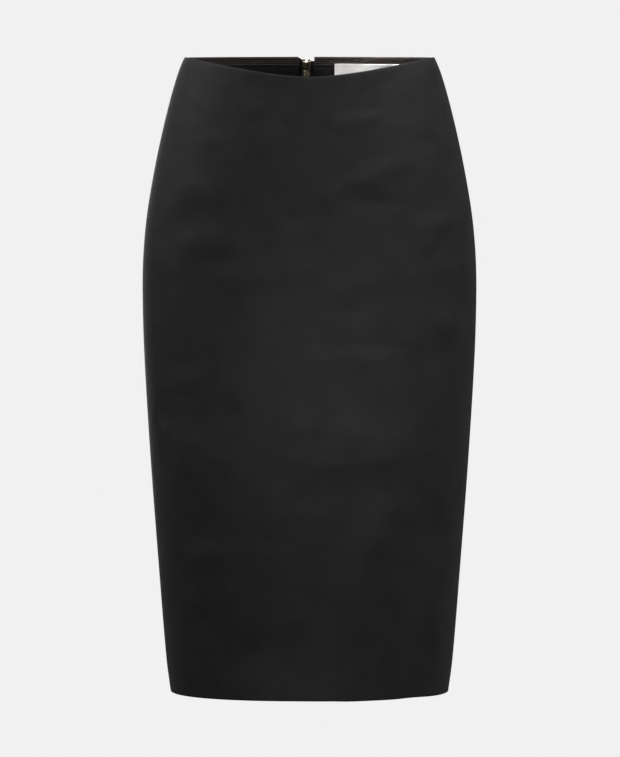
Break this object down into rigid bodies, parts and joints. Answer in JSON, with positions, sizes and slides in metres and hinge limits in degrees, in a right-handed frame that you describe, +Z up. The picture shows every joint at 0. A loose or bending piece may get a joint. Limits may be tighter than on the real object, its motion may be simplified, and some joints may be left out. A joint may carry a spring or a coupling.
{
  "type": "pencil skirt",
  "caption": "Knee-length black pencil skirt, filled out and hollow, with a dipped front waist, ribbed waist tape, facing, blank label and exposed metal zip at the back.",
  "frame": {"origin": "centre of the waist, level with the top of the side seams", "axes": "+Z up; the front faces -Y; the wearer's left is +X"},
  "size_m": [0.333, 0.2445, 0.6369],
  "materials": {
    "skirt_cloth": "black, smooth and matt, fine weave",
    "facing_cloth": "black, matt, plain weave",
    "ribbed_tape": "brown-black ribbed tape with a slight sheen",
    "label_satin": "white satin, blank",
    "zip_tape": "black woven zip tape",
    "zip_metal": "pale gold, polished"
  },
  "bodies": {
    "skirt": {"front_panel": "skirt_cloth", "back_panel_left": "skirt_cloth", "back_panel_right": "skirt_cloth", "facing_front": "facing_cloth", "facing_back_left": "facing_cloth", "facing_back_right": "facing_cloth", "waist_tape_front": "ribbed_tape", "waist_tape_back_left": "ribbed_tape", "waist_tape_back_right": "ribbed_tape", "label": "label_satin", "zip_tape_left": "zip_tape", "zip_tape_right": "zip_tape", "zip_chain": "zip_metal", "zip_stop_bottom": "zip_metal", "zip_slider": "zip_metal"},
    "pull": {"zip_pull": "zip_metal"}
  },
  "joints": [
    {"name": "zip_pull_hinge", "type": "hinge", "parent": "skirt", "child": "pull", "pos_m": [-0.00318, 0.09999, -0.00308], "axis": [1, 0, 0], "range_deg": [0, 170]}
  ]
}
